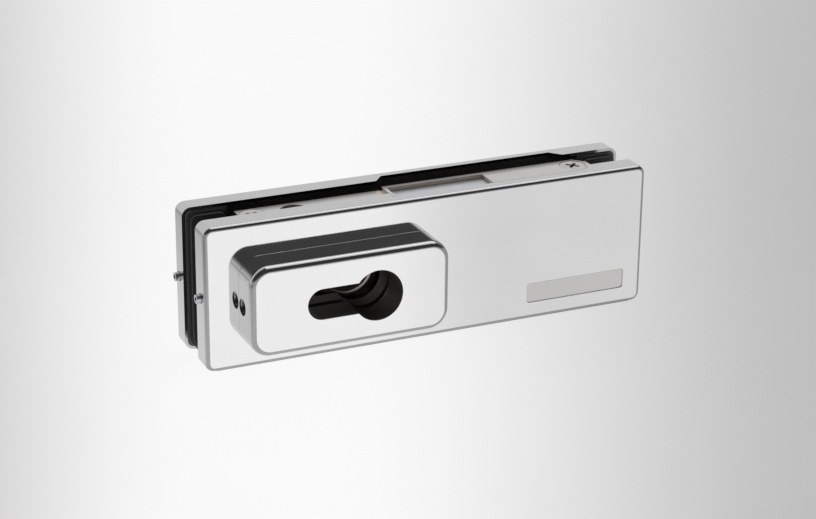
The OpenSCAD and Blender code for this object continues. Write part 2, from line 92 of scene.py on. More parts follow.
# Which way each half faces along y
SIDES = {"front": -1, "rear": 1}

# Places that the pieces share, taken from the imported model
COVER_LOW, COVER_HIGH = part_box("front_cover")
ROSE_LOW, ROSE_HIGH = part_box("front_rose_cap")
BOLT_LOW, BOLT_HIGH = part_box("bolt")
MID_Z = (COVER_LOW.z + COVER_HIGH.z) / 2
CYLINDER = Vector((-24.6 * MM, 0, MID_Z - 2.25 * MM))

# The notch in a cover's rims: its ends, its depth, and the length of its slanted ends
NOTCH_LEFT, NOTCH_RIGHT = -12.6 * MM, 60.2 * MM
NOTCH_DEPTH, NOTCH_SLANT = 4.0 * MM, 3.5 * MM
# How far the notch's cutter goes in past the sheet of the rim
NOTCH_EXTRA = 0.15 * MM
# The round bay in the front notch that clears the case screw
BAY, BAY_RADIUS = (57.4 * MM, -4.8 * MM), 5.5 * MM
# The holes for the end screws in a cover's end walls
END_HOLE_RADIUS = 1.75 * MM
# The opening in a cover is this much larger all round than the one in a rose
COVER_CLEARANCE = 0.6 * MM
# Roundings of the openings' edges, and of a pad's edge on the glass
COVER_HOLE_EDGE, ROSE_HOLE_EDGE, PAD_EDGE = 0.25 * MM, 0.2 * MM, 0.3 * MM

# The shallow field in the front cover's face
FIELD_LOW = Vector((36.2 * MM, COVER_LOW.y, 6.15 * MM))
FIELD_HIGH = Vector((73.6 * MM, COVER_LOW.y + 0.35 * MM, 13.05 * MM))
FIELD_CORNER = 0.9 * MM

# The inside of a rose: its walls, the lining of its opening and the depth for its plate
ROSE_WALL, ROSE_LEFT_WALL, ROSE_LINING = 2.4 * MM, 6.0 * MM, 1.5 * MM
ROSE_POCKET_DEPTH = 6.15 * MM
# The set screw's hole in a rose's left wall, and the shallow sink round it
SET_SCREW_Y = 17.8 * MM
SET_SCREW_HOLE = {"depth": 6.5 * MM, "radius": 2.55 * MM}
SET_SCREW_SINK = {"depth": 0.8 * MM, "radius": 2.9 * MM}


def linear(hex_value):
    """The linear colour of an sRGB hex value."""
    channels = [int(hex_value[i : i + 2], 16) / 255 for i in (1, 3, 5)]
    return tuple(c / 12.92 if c <= 0.04045 else ((c + 0.055) / 1.055) ** 2.4 for c in channels)


def colour_property(name, description, default):
    """A colour that the panel shows, from its sRGB hex value."""
    return bpy.props.FloatVectorProperty(
        name=name,
        description=description,
        subtype="COLOR",
        size=3,
        min=0,
        max=1,
        default=linear(default),
    )


class LockSizes(bpy.types.PropertyGroup):
    """Sizes of the outer pieces that their boxes do not give"""

    sheet: bpy.props.FloatProperty(
        name="Cover sheet", description="Thickness of a cover's metal", default=1.0 * MM, unit="LENGTH"
    )
    cover_corner: bpy.props.FloatProperty(
        name="Cover corner", description="Radius of a cover's corners", default=3.2 * MM, unit="LENGTH"
    )
    cover_edge: bpy.props.FloatProperty(
        name="Cover edge", description="Rounding round a cover's face", default=1.6 * MM, unit="LENGTH"
    )
    rose_corner: bpy.props.FloatProperty(
        name="Rose corner", description="Radius of a rose's corners", default=7.0 * MM, unit="LENGTH"
    )
    rose_edge: bpy.props.FloatProperty(
        name="Rose edge", description="Rounding round a rose's face", default=2.3 * MM, unit="LENGTH"
    )
    seam_edge: bpy.props.FloatProperty(
        name="Seam edge", description="Rounding where a rose meets its cover",
        default=0.15 * MM, unit="LENGTH"
    )
    cylinder_radius: bpy.props.FloatProperty(
        name="Cylinder radius", description="Round part of the opening", default=8.75 * MM, unit="LENGTH"
    )
    leg_width: bpy.props.FloatProperty(
        name="Leg width", description="Width of the opening's leg", default=10.6 * MM, unit="LENGTH"
    )
    leg_length: bpy.props.FloatProperty(
        name="Leg length", description="From the round part's middle to the leg's end",
        default=24.9 * MM, unit="LENGTH"
    )
    pad_corner: bpy.props.FloatProperty(
        name="Pad corner", description="Radius of a rubber pad's corners", default=3.0 * MM, unit="LENGTH"
    )
    pad_rim: bpy.props.FloatProperty(
        name="Pad rim", description="Width of the low rim round a pad", default=0.7 * MM, unit="LENGTH"
    )


class LockColours(bpy.types.PropertyGroup):
    """Base colours of the finishes"""

    steel: colour_property("Polished steel", "Covers", "#F2F2F3")
    aluminium: colour_property("Polished aluminium", "Roses", "#F2F2F3")
    # Painted shade: the walls of covers and roses are painted darker than their faces
    walls: colour_property("Brushed walls", "Walls of the covers and the roses", "#C4C4C5")
    # Painted shade: a dark line painted along the rounding between a face and its walls
    edges: colour_property("Edge lines", "Line between a polished face and its walls", "#A3A3A4")
    field: colour_property("Blasted field", "Floor of the shallow field", "#D9D9D8")
    # Painted shade: inside the opening the cover is painted greyer and duller than its face
    opening: colour_property("Opening's edge", "Edge of a cover inside the opening", "#D8D5D2")
    # Painted shade: the colour of the dark inside of the cylinder's opening
    shaded_bore: colour_property("Bore", "Dull surfaces inside the cylinder's opening", "#6A625D")
    casting: colour_property("Cast aluminium", "Front clamp and rose plates", "#8E8E90")
    # Painted light: the black coating is painted a mid grey, so that the shaded gap between the halves
    # shows less black
    black: colour_property("Black coating", "Rear clamp", "#6A6765")
    rubber: colour_property("Rubber", "Pads", "#333232")
    nickel: colour_property("Nickel", "Lock case and its screws", "#C5C2BF")
    # Painted shade: the lid's ring inside the opening is painted darker than the case
    shaded_lid_edge: colour_property("Lid's edge", "Ring of the lid inside the opening", "#B4ACA6")
    # Painted light: the slot's walls are painted paler than the case
    slot: colour_property("Slot", "Walls of the bolt's slot", "#D6C8BA")
    # Painted shade on the rear edge of the case's top
    rear_shade: colour_property("Painted rear shade", "Dark rear edge of the case's top", "#2A2624")
    bolt: colour_property("Bolt steel", "Bolt and pins", "#D2D5DA")
    spring: colour_property("Blued steel", "Detent spring", "#5D646E")
    zinc: colour_property("Zinc plating", "Screws", "#C9CBCE")
    oxide: colour_property("Black oxide", "Set screws of the roses", "#3A3A3C")
    # Painted light: the glow of the table top
    floor: colour_property("Table", "Painted glow of the table top", "#F8F7F7")


def deselect_all():
    """Leaves nothing selected or active."""
    for thing in list(bpy.context.selected_objects):
        thing.select_set(False)
    bpy.context.view_layer.objects.active = None


def make_active(thing):
    """Makes one object the only selected one."""
    deselect_all()
    thing.select_set(True)
    bpy.context.view_layer.objects.active = thing


def settle(name):
    """Names the object just added, and moves its place and size into its mesh."""
    thing = bpy.context.object
    thing.name = name
    bpy.ops.object.transform_apply(location=True, rotation=True, scale=True)
    return thing


def add_block(name, low, high):
    """A block between two corners."""
    deselect_all()
    low, high = Vector(low), Vector(high)
    bpy.ops.mesh.primitive_cube_add(size=1, location=(low + high) / 2, scale=high - low)
    return settle(name)


def add_rod(name, start, end, radius, sides=96):
    """A round rod between two points."""
    deselect_all()
    start, end = Vector(start), Vector(end)
    way = (end - start).normalized()
    bpy.ops.mesh.primitive_cylinder_add(
        vertices=sides,
        radius=radius,
        depth=(end - start).length,
        location=(start + end) / 2,
        rotation=way.to_track_quat("Z", "Y").to_euler(),
    )
    return settle(name)


def edit(piece, kind, wanted):
    """Opens a piece in edit mode with the wanted vertices, edges or faces selected."""
    make_active(piece)
    bpy.ops.object.mode_set(mode="EDIT")
    bpy.ops.mesh.select_mode(type=kind)
    bpy.ops.mesh.select_all(action="DESELECT")
    mesh = bmesh.from_edit_mesh(piece.data)
    parts = {"VERT": mesh.verts, "EDGE": mesh.edges, "FACE": mesh.faces}[kind]
    for part in parts:
        if wanted(part):
            part.select = True
    mesh.select_flush_mode()
    bmesh.update_edit_mesh(piece.data)


def close_edit():
    """Leaves edit mode."""
    bpy.ops.object.mode_set(mode="OBJECT")


def round_edges(piece, wanted, radius, segments):
    """Rounds the wanted edges."""
    edit(piece, "EDGE", wanted)
    bpy.ops.mesh.bevel(
        offset=radius, segments=segments, profile=0.5, affect="EDGES", clamp_overlap=False
    )
    close_edit()


def along(edge, axis):
    """Whether an edge runs along an axis."""
    way = (edge.verts[1].co - edge.verts[0].co).normalized()
    return abs(way[axis]) > 0.999


def at_level(part, axis, level):
    """Whether an edge or a face lies on a plane across an axis."""
    return all(abs(v.co[axis] - level) < TINY for v in part.verts)


def hole_edge(face_y):
    """A test for the sharp edges round the openings in a face across y."""

    def wanted(edge):
        """Whether one side of an edge is the face, and the other one a wall straight into it."""
        if not at_level(edge, Y, face_y) or len(edge.link_faces) != 2:
            return False
        wall_lean, face_lean = sorted(abs(f.normal.y) for f in edge.link_faces)
        return wall_lean < 0.05 and face_lean > 0.95

    return wanted


def apply_modifier(piece, kind, **settings):
    """Adds a modifier with its settings and applies it."""
    make_active(piece)
    modifier = piece.modifiers.new(kind.title(), kind)
    for key, value in settings.items():
        setattr(modifier, key, value)
    bpy.ops.object.modifier_apply(modifier=modifier.name)


def cut(piece, *cutters):
    """Takes each cutter out of a piece."""
    for cutter in cutters:
        apply_modifier(piece, "BOOLEAN", object=cutter, operation="DIFFERENCE", solver="EXACT")
        bpy.data.objects.remove(cutter)


def smooth(piece):
    """Joins what the cuts left double, shades round surfaces smooth and keeps flat ones flat."""
    edit(piece, "VERT", lambda v: True)
    bpy.ops.mesh.remove_doubles(threshold=0.002 * MM)
    bpy.ops.mesh.normals_make_consistent(inside=False)
    close_edit()
    bpy.ops.object.shade_smooth_by_angle(angle=SMOOTH_ANGLE)
    apply_modifier(piece, "WEIGHTED_NORMAL", mode="FACE_AREA", weight=80, keep_sharp=True)


def finish_piece(piece, material, slot, *nodes):
    """Gives a piece its finish, and puts it in the place of its CAD nodes."""
    piece.data.materials.clear()
    piece.data.materials.append(material)
    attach(piece, body_of(frame["nodes"][nodes[0]])[0])
    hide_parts(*nodes)


def finish_nodes(material, *names):
    """Gives CAD nodes their finish."""
    for name in names:
        mesh = frame["nodes"][name].data
        mesh.materials.clear()
        mesh.materials.append(material)


def add_node(tree, kind, inputs=None, **settings):
    """Adds a node with its settings; an input is a value or the output that feeds it."""
    made = tree.nodes.new(kind)
    for key, value in settings.items():
        setattr(made, key, value)
    for key, value in (inputs or {}).items():
        if isinstance(value, bpy.types.NodeSocket):
            tree.links.new(value, made.inputs[key])
        else:
            made.inputs[key].default_value = value
    return made


def start_material(name, metallic=0.0):
    """An empty material with its tree, its shader and its object coordinates."""
    material = bpy.data.materials.new(name)
    material.use_nodes = True
    tree = material.node_tree
    tree.nodes.clear()
    shader = add_node(tree, "ShaderNodeBsdfPrincipled", {"Metallic": metallic})
    add_node(tree, "ShaderNodeOutputMaterial", {"Surface": shader.outputs["BSDF"]})
    place = add_node(tree, "ShaderNodeTexCoord").outputs["Object"]
    return material, tree, shader, place


def shade_of(colour, factor):
    """A colour made darker or lighter, with its alpha."""
    return tuple(min(1.0, c * factor) for c in colour) + (1.0,)


def ranged(tree, value, start, end, first, last, curve="SMOOTHSTEP"):
    """A value carried over from the range of start to end to that of first to last."""
    spread = add_node(
        tree,
        "ShaderNodeMapRange",
        {"Value": value, "From Min": start, "From Max": end, "To Min": first, "To Max": last},
        interpolation_type=curve,
    )
    return spread.outputs["Result"]


def calculated(tree, operation, first, second=0.0):
    """One value worked out from another, or from two."""
    node = add_node(tree, "ShaderNodeMath", {0: first, 1: second}, operation=operation)
    return node.outputs["Value"]


def projected(tree, place, way):
    """How far a place lies along a direction."""
    node = add_node(tree, "ShaderNodeVectorMath", {0: place, 1: way}, operation="DOT_PRODUCT")
    return node.outputs["Value"]


def in_block(tree, place, low, high, blur=BLUR):
    """One inside the block between two corners, and nought beyond its blurred edge."""
    parts = add_node(tree, "ShaderNodeSeparateXYZ", {"Vector": place}).outputs
    inside = 1.0
    for word, start, end in zip("XYZ", low, high):
        half = (end - start) / 2
        off = calculated(tree, "ABSOLUTE", calculated(tree, "SUBTRACT", parts[word], start + half))
        within = ranged(tree, off, half, half + blur, 1.0, 0.0)
        inside = calculated(tree, "MULTIPLY", within, inside)
    return inside


def mottled(tree, place, size, low, high, detail=3.0):
    """A soft noise with patches of the given size in metres, between two values."""
    noise = add_node(
        tree,
        "ShaderNodeTexNoise",
        {"Vector": place, "Scale": 1 / size, "Detail": detail, "Roughness": 0.55},
    )
    # Noise seldom leaves the range of 0.3 to 0.7
    return ranged(tree, noise.outputs["Fac"], 0.3, 0.7, low, high, curve="LINEAR")


def mixed(tree, factor, first, second, kind="FLOAT"):
    """A value between two, or a colour where the kind is RGBA, by a factor."""
    mix = add_node(tree, "ShaderNodeMix", {"Factor": factor, "A": first, "B": second}, data_type=kind)
    return mix.outputs["Result"]


def clouded(tree, place, colour, size, darkest, palest):
    """A colour in soft patches of the given size, from a darker to a paler shade of it."""
    clouds = mottled(tree, place, size, 0.0, 1.0)
    return mixed(tree, clouds, shade_of(colour, darkest), shade_of(colour, palest), kind="RGBA")


def bumped(tree, shader, place, size, depth, strength, detail=3.0):
    """Bumps of the given size and depth in metres."""
    height = mottled(tree, place, size, 0.0, 1.0, detail)
    bump = add_node(tree, "ShaderNodeBump", {"Height": height, "Distance": depth, "Strength": strength})
    tree.links.new(bump.outputs["Normal"], shader.inputs["Normal"])


class Patch(NamedTuple):
    """A block of space, between two corners, in which a finish has another colour and gloss."""

    low: tuple
    high: tuple
    colour: Color
    roughness: float
    blur: float = BLUR


def dress(tree, shader, place, base, roughness, patches=()):
    """Feeds a finish's colour and roughness, which change inside the patches."""
    for patch in patches:
        inside = in_block(tree, place, patch.low, patch.high, patch.blur)
        base = mixed(tree, inside, base, shade_of(patch.colour, 1.0), kind="RGBA")
        roughness = mixed(tree, inside, roughness, patch.roughness)
    tree.links.new(base, shader.inputs["Base Color"])
    tree.links.new(roughness, shader.inputs["Roughness"])


def polished_metal(name, colour, haze, patches):
    """Mirror-buffed metal: clear reflections with a trace of buffing haze and long waves."""
    material, tree, shader, place = start_material(name, metallic=1.0)
    base = clouded(tree, place, colour, size=25 * MM, darkest=0.97, palest=1.0)
    # Buffing leaves patches about 12 mm wide that differ a little in gloss
    gloss = mottled(tree, place, size=12 * MM, low=haze * 0.7, high=haze * 1.5)
    dress(tree, shader, place, base, gloss, patches)
    # Buffed metal is never quite flat: waves of 30 mm, about 1 micron deep
    bumped(tree, shader, place, 30 * MM, depth=0.001 * MM, strength=0.6, detail=1.0)
    return material


def cast_metal(name, colour, metallic, patches=()):
    """Die-cast aluminium, bare or coated: a matt skin with small cloudy patches."""
    material, tree, shader, place = start_material(name, metallic)
    base = clouded(tree, place, colour, size=5 * MM, darkest=0.8, palest=1.05)
    gloss = mottled(tree, place, size=3 * MM, low=0.425, high=0.575)
    dress(tree, shader, place, base, gloss, patches)
    # Tumbling leaves a grain of about 0.5 mm, 0.03 mm deep
    bumped(tree, shader, place, 0.5 * MM, depth=0.03 * MM, strength=0.7)
    return material


def plated_metal(name, colour, roughness, lines, direction, patches=()):
    """Plated or drawn metal: fine lines of the given width along one axis, under a satin sheen."""
    material, tree, shader, place = start_material(name, metallic=1.0)
    squeeze = [1.0, 1.0, 1.0]
    # The lines are 25 times as long as they are wide
    squeeze[direction] = 1 / 25
    drawn = add_node(tree, "ShaderNodeMapping", {"Vector": place, "Scale": squeeze}).outputs["Vector"]
    base = clouded(tree, place, colour, size=9 * MM, darkest=0.93, palest=1.02)
    gloss = mottled(tree, drawn, size=lines * 1.5, low=roughness * 0.8, high=roughness * 1.25)
    dress(tree, shader, place, base, gloss, patches)
    bumped(tree, shader, drawn, lines, depth=0.006 * MM, strength=0.5)
    return material


def turned_metal(name, colour, roughness):
    """Turned and plated screws: even satin metal with fine, close mottling."""
    material, tree, shader, place = start_material(name, metallic=1.0)
    base = clouded(tree, place, colour, size=1.6 * MM, darkest=0.82, palest=1.04)
    gloss = mottled(tree, place, size=0.8 * MM, low=roughness * 0.8, high=roughness * 1.3)
    dress(tree, shader, place, base, gloss)
    bumped(tree, shader, place, 0.4 * MM, depth=0.008 * MM, strength=0.5)
    return material


def moulded_rubber(colour):
    """Moulded EPDM rubber: black, dull, with the fine grain of its mould and a grey bloom."""
    material, tree, shader, place = start_material("Moulded EPDM rubber")
    shader.inputs["IOR"].default_value = 1.5
    bloom = clouded(tree, place, colour, size=4 * MM, darkest=1.0, palest=1.28)
    gloss = mottled(tree, place, size=1.5 * MM, low=0.45, high=0.62)
    dress(tree, shader, place, bloom, gloss)
    bumped(tree, shader, place, 0.35 * MM, depth=0.02 * MM, strength=0.6)
    return material


def shaded_wall_patch(depth, colour):
    """The walls behind a polished face: brushed, and painted darker than the face as painted shade, so
    they give back less light than it.
    """
    return Patch((-FAR, -depth, -FAR), (FAR, depth, FAR), colour, roughness=0.12, blur=0.03 * MM)


def bore_shade_patch(sizes, depth, colour, roughness):
    """Painted shade inside the cylinder's opening, up to a depth on both sides."""
    margin = 1.05 * MM
    left = CYLINDER.x - sizes.leg_length - margin
    reach = sizes.cylinder_radius + margin
    low = (left, -depth, CYLINDER.z - reach)
    high = (CYLINDER.x + reach, depth, CYLINDER.z + reach)
    return Patch(low, high, colour, roughness)


def cover_steel(sizes, colours):
    """Polished stainless steel: a clear mirror, with brushed walls in painted shade and painted dark
    lines at their edge.
    """
    face = -COVER_LOW.y
    # The floor of the shallow field is blasted: pale, and duller than the face round it. Its
    # patch starts between the face and that floor.
    margin = 0.25 * MM
    field = Patch(
        (FIELD_LOW.x - margin, COVER_LOW.y + 0.2 * MM, FIELD_LOW.z - margin),
        (FIELD_HIGH.x + margin, COVER_LOW.y + 2.2 * MM, FIELD_HIGH.z + margin),
        colours.field,
        roughness=0.15,
    )
    patches = (
        # Painted shade: the painted dark line starts close behind the face, and the walls' painted shade
        # half-way down the rounding
        shaded_wall_patch(face - 0.04 * MM, colours.edges),
        shaded_wall_patch(face - sizes.cover_edge / 2, colours.walls),
        field,
        # Painted shade: the cover is greyer and duller inside the opening
        bore_shade_patch(sizes, face - 0.2 * MM, colours.opening, roughness=0.3),
    )
    return polished_metal("Polished stainless steel", colours.steel, haze=0.05, patches=patches)


def rose_aluminium(sizes, colours):
    """Polished aluminium: a mirror with a little more haze, brushed walls in painted shade, and a dull
    bore in painted shade.
    """
    face = -ROSE_LOW.y
    patches = (
        # The painted dark line and the painted shade of the walls start as on the covers
        shaded_wall_patch(face - 0.06 * MM, colours.edges),
        shaded_wall_patch(face - sizes.rose_edge / 2, colours.walls),
        # Painted shade: the bore is painted dark and dull
        bore_shade_patch(sizes, face - 0.15 * MM, colours.shaded_bore, roughness=0.6),
    )
    return polished_metal("Polished aluminium", colours.aluminium, haze=0.06, patches=patches)


def bare_casting(sizes, colours):
    """Tumbled cast aluminium: matt grey, and painted darker inside the cylinder's opening as painted
    shade.
    """
    # Painted shade inside the opening
    shaded_bore = bore_shade_patch(sizes, FAR, colours.shaded_bore, roughness=0.6)
    return cast_metal("Tumbled cast aluminium", colours.casting, metallic=1.0, patches=(shaded_bore,))


def coated_casting(colours):
    """Black-coated cast aluminium: dark and matt, without the shine of bare metal, and painted paler than
    black as painted light in the shaded gap.
    """
    return cast_metal("Black-coated cast aluminium", colours.black, metallic=0.0)


def case_nickel(sizes, colours):
    """Nickel-plated zinc casting: a warm satin sheen on the outside, dull and in painted shade inside,
    with painted shade at its top's rear edge and painted light in its slot.
    """
    # Painted shade: full behind the case's rear edge, and fading over 5.5 mm towards the front
    rear_shade = Patch(
        (-FAR, 1.5 * MM, -FAR),
        (FAR, 7.3 * MM, FAR),
        colours.rear_shade,
        roughness=0.35,
        blur=5.5 * MM,
    )
    # The slot's walls are left as cast, from just under the case's top, and painted paler and warmer than
    # the case: painted light on walls that lie in shade
    margin = 1 * MM
    slot = Patch(
        (BOLT_LOW.x - margin, BOLT_LOW.y - margin, COVER_HIGH.z - 6.2 * MM),
        (BOLT_HIGH.x + margin, BOLT_HIGH.y + margin, COVER_HIGH.z - 0.2 * MM),
        colours.slot,
        roughness=0.6,
    )
    patches = (
        rear_shade,
        # Painted shade: the case is dark and dull inside the opening
        bore_shade_patch(sizes, FAR, colours.shaded_bore, roughness=0.6),
        # Painted shade: the lid's edge shows as a grey ring in the painted dark of the bore
        bore_shade_patch(sizes, 1.6 * MM, colours.shaded_lid_edge, roughness=0.4),
        slot,
    )
    return plated_metal(
        "Nickel-plated zinc casting",
        colours.nickel,
        roughness=0.2,
        lines=0.5 * MM,
        direction=X,
        patches=patches,
    )


def opening_cutters(sizes, low_y, high_y, grow=0.0):
    """The two cutters of a profile cylinder's opening: the round part and the leg."""
    x, z = CYLINDER.x, CYLINDER.z
    half = sizes.leg_width / 2 + grow
    far = x - sizes.leg_length - grow
    round_part = add_rod("round_part", (x, low_y, z), (x, high_y, z), sizes.cylinder_radius + grow)
    leg = add_block("leg", (far, low_y, z - half), (x, high_y, z + half))
    # The end is round, a hair short of a half circle so that its two roundings don't meet
    end_radius = half * 0.9999
    round_edges(
        leg, lambda e: along(e, Y) and abs(e.verts[0].co.x - far) < TINY, end_radius, segments=24
    )
    return round_part, leg


def cut_notches(cover, sizes, side, rim_y):
    """Cuts the notch into the top and the bottom rim of a cover."""
    floor_y, open_y = rim_y + side * NOTCH_DEPTH, rim_y - side * MM
    low_y, high_y = sorted((floor_y, open_y))
    # The slant goes on to the cutter's open side, 1 mm past the rim
    slant = NOTCH_SLANT * (NOTCH_DEPTH + MM) / NOTCH_DEPTH
    slanted_ends = [(NOTCH_RIGHT, -slant)]
    if side == SIDES["rear"]:
        slanted_ends.append((NOTCH_LEFT, slant))
    height = sizes.sheet + NOTCH_EXTRA
    levels = (
        (COVER_LOW.z - MM, COVER_LOW.z + height),
        (COVER_HIGH.z - height, COVER_HIGH.z + MM),
    )
    for low_z, high_z in levels:
        notch = add_block("notch", (NOTCH_LEFT, low_y, low_z), (NOTCH_RIGHT, high_y, high_z))
        for end, shift in slanted_ends:
            edit(notch, "VERT", lambda v: max(abs(v.co.x - end), abs(v.co.y - floor_y)) < TINY)
            bpy.ops.transform.translate(value=(shift, 0, 0))
            close_edit()
        cut(cover, notch)
        if side == SIDES["front"]:
            cut(cover, add_rod("bay", (*BAY, low_z), (*BAY, high_z), BAY_RADIUS))


def cut_field(cover):
    """Sinks the shallow field into the front cover's face."""
    field = add_block("field", FIELD_LOW - Vector((0, MM, 0)), FIELD_HIGH)
    round_edges(field, lambda e: along(e, Y), FIELD_CORNER, segments=8)
    cut(cover, field)


def model_cover(sizes, word):
    """One cover: a rounded tray, notched in both rims and opened for the cylinder."""
    side = SIDES[word]
    face_y, rim_y = side * -COVER_LOW.y, side * -COVER_HIGH.y
    low_y, high_y = sorted((face_y, rim_y))
    cover = add_block(
        word + "_cover_shell",
        (COVER_LOW.x, low_y, COVER_LOW.z),
        (COVER_HIGH.x, high_y, COVER_HIGH.z),
    )
    round_edges(cover, lambda e: along(e, Y), sizes.cover_corner, segments=10)
    round_edges(cover, lambda e: at_level(e, Y, face_y), sizes.cover_edge, segments=6)
    edit(cover, "FACE", lambda f: at_level(f, Y, rim_y))
    bpy.ops.mesh.delete(type="FACE")
    close_edit()
    apply_modifier(
        cover, "SOLIDIFY", thickness=sizes.sheet, offset=-1, use_even_offset=True, use_rim=True
    )
    cut_notches(cover, sizes, side, rim_y)
    cut(cover, *opening_cutters(sizes, low_y - MM, high_y + MM, grow=COVER_CLEARANCE))
    # One rod cuts the end screws' holes in both end walls
    hole_x, hole_y = COVER_HIGH.x + MM, (face_y + rim_y) / 2
    rod = add_rod("end_hole", (-hole_x, hole_y, MID_Z), (hole_x, hole_y, MID_Z), END_HOLE_RADIUS, 48)
    cut(cover, rod)
    if word == "front":
        cut_field(cover)
        round_edges(cover, hole_edge(face_y), COVER_HOLE_EDGE, segments=3)
    smooth(cover)
    return cover


def rose_pocket(sizes, side, back_y):
    """The cutter for a rose's pocket, which leaves a lining round the opening."""
    low_y, high_y = sorted((back_y - side * MM, back_y + side * ROSE_POCKET_DEPTH))
    pocket = add_block(
        "pocket",
        (ROSE_LOW.x + ROSE_LEFT_WALL, low_y, ROSE_LOW.z + ROSE_WALL),
        (ROSE_HIGH.x - ROSE_WALL, high_y, ROSE_HIGH.z - ROSE_WALL),
    )
    round_edges(pocket, lambda e: along(e, Y), sizes.rose_corner - ROSE_WALL, segments=12)
    cut(pocket, *opening_cutters(sizes, low_y - MM, high_y + MM, grow=ROSE_LINING))
    return pocket


def model_rose_cap(sizes, word):
    """One rose: a slab with large corners, a pocket for its plate, and a lined opening."""
    side = SIDES[word]
    face_y, back_y = side * -ROSE_LOW.y, side * -ROSE_HIGH.y
    low_y, high_y = sorted((face_y, back_y))
    cap = add_block(
        word + "_rose_cap_body",
        (ROSE_LOW.x, low_y, ROSE_LOW.z),
        (ROSE_HIGH.x, high_y, ROSE_HIGH.z),
    )
    round_edges(cap, lambda e: along(e, Y), sizes.rose_corner, segments=20)
    round_edges(cap, lambda e: at_level(e, Y, face_y), sizes.rose_edge, segments=10)
    round_edges(cap, lambda e: at_level(e, Y, back_y), sizes.seam_edge, segments=3)
    cut(cap, rose_pocket(sizes, side, back_y))
    cut(cap, *opening_cutters(sizes, low_y - MM, high_y + MM))
    for hole in (SET_SCREW_HOLE, SET_SCREW_SINK):
        start = (ROSE_LOW.x - MM, side * SET_SCREW_Y, CYLINDER.z)
        end = (ROSE_LOW.x + hole["depth"], side * SET_SCREW_Y, CYLINDER.z)
        cut(cap, add_rod("hole", start, end, hole["radius"], 64))
    round_edges(cap, hole_edge(face_y), ROSE_HOLE_EDGE, segments=3)
    smooth(cap)
    return cap


def model_pad(sizes, name):
    """One rubber pad: a rounded base with a raised, softened middle."""
    low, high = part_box(name)
    glass_y, base_y = sorted((low.y, high.y), key=abs)
    step_y = (base_y + glass_y) / 2
    low_y, high_y = sorted((base_y, step_y))
    pad = add_block(name + "_rubber", (low.x, low_y, low.z), (high.x, high_y, high.z))
    round_edges(pad, lambda e: along(e, Y), sizes.pad_corner, segments=8)
    edit(pad, "FACE", lambda f: at_level(f, Y, step_y))
    bpy.ops.mesh.inset(thickness=sizes.pad_rim, depth=0)
    bpy.ops.mesh.extrude_region_move(
        TRANSFORM_OT_translate={"value": (0, glass_y - step_y, 0)}
    )
    close_edit()
    round_edges(pad, lambda e: at_level(e, Y, glass_y), PAD_EDGE, segments=3)
    smooth(pad)
    return pad


def glowing_sheet(name, colour, cloud_size):
    """A sheet that glows by itself, as painted light: an even glow, and a dark body that hardly adds to
    it.
    """
    material, tree, shader, place = start_material(name)
    glow = clouded(tree, place, colour, size=cloud_size, darkest=0.985, palest=1.0)
    body = clouded(tree, place, colour, size=cloud_size, darkest=0.02, palest=0.03)
    tree.links.new(glow, shader.inputs["Emission Color"])
    tree.links.new(body, shader.inputs["Base Color"])
    return material, tree, shader, place


def painted_glow_table(colour):
    """Table top that glows by itself, so nothing throws a shadow on it: painted light, with painted bands
    of light and a painted shadow under the lock.
    """
    material, tree, shader, place = glowing_sheet("Table top with painted glow", colour, 400 * MM)
    shader.inputs["Roughness"].default_value = 0.9
    shader.inputs["Specular IOR Level"].default_value = 0.1
    # The painted glow changes across lines that fan out towards the table's far end. At the lock the
    # fan's width is taken as one.
    fan_across, fan_opening, narrowest = (0.910, -0.414, 0), (0.487, 1.071, 0), 0.6
    width = calculated(tree, "ADD", projected(tree, place, fan_opening), 1.0)
    width = calculated(tree, "MAXIMUM", width, narrowest)
    across = calculated(tree, "DIVIDE", projected(tree, place, fan_across), width)
    # Painted pools of light: the glow is weaker to the left and to the right, and stronger again at the
    # far right. A band holds its start and its end across the fan, and the glow at both.
    painted_bands = ((-0.2, -0.075, 0.52, 1.0), (-0.03, 0.15, 1.0, 0.53), (0.14, 0.17, 1.0, 1.35))
    glow = 1.0
    for painted_band in painted_bands:
        glow = calculated(tree, "MULTIPLY", ranged(tree, across, *painted_band), glow)
    # Painted shadow: the glow is weaker where the lock stands
    low = (COVER_LOW.x + 4 * MM, COVER_LOW.y + 1 * MM, -FAR)
    high = (COVER_HIGH.x - 4 * MM, -COVER_LOW.y - 1 * MM, FAR)
    covered = in_block(tree, place, low, high)
    painted_shadow = ranged(tree, covered, start=0.0, end=1.0, first=1.0, last=0.2)
    glow = calculated(tree, "MULTIPLY", glow, painted_shadow)
    tree.links.new(glow, shader.inputs["Emission Strength"])
    return material


def painted_reflection_card(colour):
    """Glowing card that evens out what the polished faces show: a painted reflection, pale, and greyer to
    the right.
    """
    material, tree, shader, place = glowing_sheet("Glowing card for painted reflections", colour, 60 * MM)
    # Along this lean lie the points that one column of the cover's face shows in its reflection. The
    # painted reflection turns greyer from 35 mm left of the lock's middle to 30 mm right of it.
    lean = 0.4548
    column = calculated(tree, "SUBTRACT", projected(tree, place, (1, lean, 0)), lean * COVER_LOW.y)
    level = ranged(tree, column, start=-35 * MM, end=30 * MM, first=1.0, last=0.755)
    tree.links.new(level, shader.inputs["Emission Strength"])
    return material


def add_sheet(name, middle, size, material):
    """A flat rectangle of the stage."""
    deselect_all()
    bpy.ops.mesh.primitive_plane_add(size=1, location=middle)
    bpy.context.object.scale = (*size, 1)
    sheet = settle(name)
    sheet.data.materials.append(material)
    return sheet


def add_card(colour):
    """The glowing card in front of the lock, just over the table, which only polished metal shows: a
    painted reflection.
    """
    near, far = COVER_LOW.y - 0.3 * MM, COVER_LOW.y - 150 * MM
    middle = (25 * MM, (near + far) / 2, 0.4 * MM)
    card = add_sheet("card", middle, (250 * MM, near - far), painted_reflection_card(colour))
    card.visible_camera = card.visible_diffuse = card.visible_shadow = False


